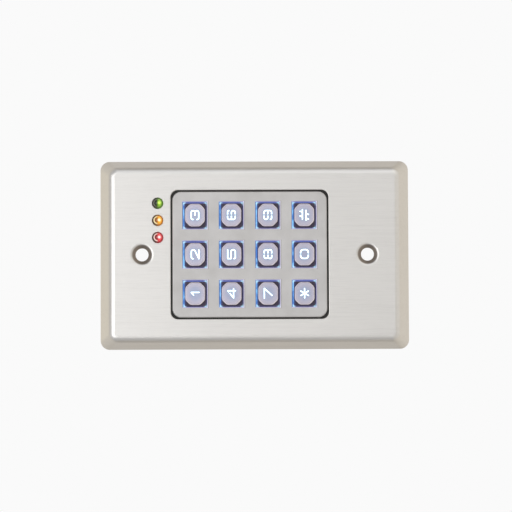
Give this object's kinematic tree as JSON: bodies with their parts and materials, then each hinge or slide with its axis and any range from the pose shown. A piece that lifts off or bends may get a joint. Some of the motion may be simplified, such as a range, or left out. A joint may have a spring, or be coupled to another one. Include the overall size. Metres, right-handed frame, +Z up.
{
  "type": "keypad access reader",
  "caption": "Flush wall-mounted access keypad: pressed stainless single-gang plate, back-lit metal keys in a die-cast frame, status lamps above, control electronics behind.",
  "frame": {"origin": "middle of the wall plane that the plate's rim stands on, midway between the two screw holes", "axes": "+X to the user's right, +Z up along the plate's long side, +Y into the wall (the keys face -Y)"},
  "size_m": [0.0698, 0.0347, 0.1142],
  "materials": {
    "stainless_plate": "fine lengthwise brushing, satin",
    "keypad_casting": "smooth satin grey coat on die casting",
    "key_metal": "smooth satin with bright chamfered rim",
    "key_light_guide": "translucent, lit from behind",
    "black_seal": "matt moulded rubber",
    "foam_seal": "closed-cell foam",
    "silicone": "translucent white silicone",
    "circuit_board": "green solder mask over tracks",
    "gold_contact": "plated contact pads",
    "backlight": "small surface lamps",
    "zinc_fixings": "bright zinc plate",
    "stud_steel": "welded stainless stud",
    "brass_standoff": "turned brass, nickel flash",
    "tinned_metal": "bright tin",
    "lamp_green": "tinted clear epoxy",
    "lamp_amber": "tinted clear epoxy",
    "lamp_red": "tinted clear epoxy",
    "black_plastic": "moulded, fine texture",
    "chip_epoxy": "moulded epoxy",
    "terminal_green": "moulded nylon",
    "relay_blue": "moulded case",
    "can_aluminium": "drawn can"
  },
  "bodies": {
    "root": {"faceplate": "stainless_plate", "keypad_frame": "keypad_casting", "keypad_seal": "black_seal", "wall_seal": "foam_seal", "key_mat": "silicone", "keypad_board": "circuit_board", "control_board": "circuit_board", "contact_pads": "gold_contact", "backlights": "backlight", "frame_nuts": "zinc_fixings", "web_screws": "zinc_fixings", "control_board_screws": "zinc_fixings", "terminal_screws": "zinc_fixings", "plate_studs": "stud_steel", "standoffs": "brass_standoff", "lamp_leads": "tinned_metal", "header_pins": "tinned_metal", "terminal_clamps": "tinned_metal", "microcontroller_leads": "tinned_metal", "regulator_tab": "tinned_metal", "led_green": "lamp_green", "led_amber": "lamp_amber", "led_red": "lamp_red", "lamp_holder": "black_plastic", "header_socket": "black_plastic", "header_strip": "black_plastic", "buzzer": "black_plastic", "microcontroller": "chip_epoxy", "voltage_regulator": "chip_epoxy", "diodes": "chip_epoxy", "chip_resistors": "chip_epoxy", "terminal_block": "terminal_green", "relay": "relay_blue", "electrolytic_capacitors": "can_aluminium", "crystal": "can_aluminium"},
    "key_1": {"key_cap_1": "key_metal", "key_lens_1": "key_light_guide"},
    "key_2": {"key_cap_2": "key_metal", "key_lens_2": "key_light_guide"},
    "key_3": {"key_cap_3": "key_metal", "key_lens_3": "key_light_guide"},
    "key_4": {"key_cap_4": "key_metal", "key_lens_4": "key_light_guide"},
    "key_5": {"key_cap_5": "key_metal", "key_lens_5": "key_light_guide"},
    "key_6": {"key_cap_6": "key_metal", "key_lens_6": "key_light_guide"},
    "key_7": {"key_cap_7": "key_metal", "key_lens_7": "key_light_guide"},
    "key_8": {"key_cap_8": "key_metal", "key_lens_8": "key_light_guide"},
    "key_9": {"key_cap_9": "key_metal", "key_lens_9": "key_light_guide"},
    "key_star": {"key_cap_star": "key_metal", "key_lens_star": "key_light_guide"},
    "key_0": {"key_cap_0": "key_metal", "key_lens_0": "key_light_guide"},
    "key_hash": {"key_cap_hash": "key_metal", "key_lens_hash": "key_light_guide"}
  },
  "joints": [
    {"name": "press_1", "type": "slide", "parent": "root", "child": "key_1", "axis": [0, 1, 0], "range_m": [0, 0.0009], "stiffness_N_per_m": 1400, "springref_m": -0.0003, "deforming": ["key_mat"]},
    {"name": "press_2", "type": "slide", "parent": "root", "child": "key_2", "axis": [0, 1, 0], "range_m": [0, 0.0009], "stiffness_N_per_m": 1400, "springref_m": -0.0003, "deforming": ["key_mat"]},
    {"name": "press_3", "type": "slide", "parent": "root", "child": "key_3", "axis": [0, 1, 0], "range_m": [0, 0.0009], "stiffness_N_per_m": 1400, "springref_m": -0.0003, "deforming": ["key_mat"]},
    {"name": "press_4", "type": "slide", "parent": "root", "child": "key_4", "axis": [0, 1, 0], "range_m": [0, 0.0009], "stiffness_N_per_m": 1400, "springref_m": -0.0003, "deforming": ["key_mat"]},
    {"name": "press_5", "type": "slide", "parent": "root", "child": "key_5", "axis": [0, 1, 0], "range_m": [0, 0.0009], "stiffness_N_per_m": 1400, "springref_m": -0.0003, "deforming": ["key_mat"]},
    {"name": "press_6", "type": "slide", "parent": "root", "child": "key_6", "axis": [0, 1, 0], "range_m": [0, 0.0009], "stiffness_N_per_m": 1400, "springref_m": -0.0003, "deforming": ["key_mat"]},
    {"name": "press_7", "type": "slide", "parent": "root", "child": "key_7", "axis": [0, 1, 0], "range_m": [0, 0.0009], "stiffness_N_per_m": 1400, "springref_m": -0.0003, "deforming": ["key_mat"]},
    {"name": "press_8", "type": "slide", "parent": "root", "child": "key_8", "axis": [0, 1, 0], "range_m": [0, 0.0009], "stiffness_N_per_m": 1400, "springref_m": -0.0003, "deforming": ["key_mat"]},
    {"name": "press_9", "type": "slide", "parent": "root", "child": "key_9", "axis": [0, 1, 0], "range_m": [0, 0.0009], "stiffness_N_per_m": 1400, "springref_m": -0.0003, "deforming": ["key_mat"]},
    {"name": "press_star", "type": "slide", "parent": "root", "child": "key_star", "axis": [0, 1, 0], "range_m": [0, 0.0009], "stiffness_N_per_m": 1400, "springref_m": -0.0003, "deforming": ["key_mat"]},
    {"name": "press_0", "type": "slide", "parent": "root", "child": "key_0", "axis": [0, 1, 0], "range_m": [0, 0.0009], "stiffness_N_per_m": 1400, "springref_m": -0.0003, "deforming": ["key_mat"]},
    {"name": "press_hash", "type": "slide", "parent": "root", "child": "key_hash", "axis": [0, 1, 0], "range_m": [0, 0.0009], "stiffness_N_per_m": 1400, "springref_m": -0.0003, "deforming": ["key_mat"]}
  ]
}
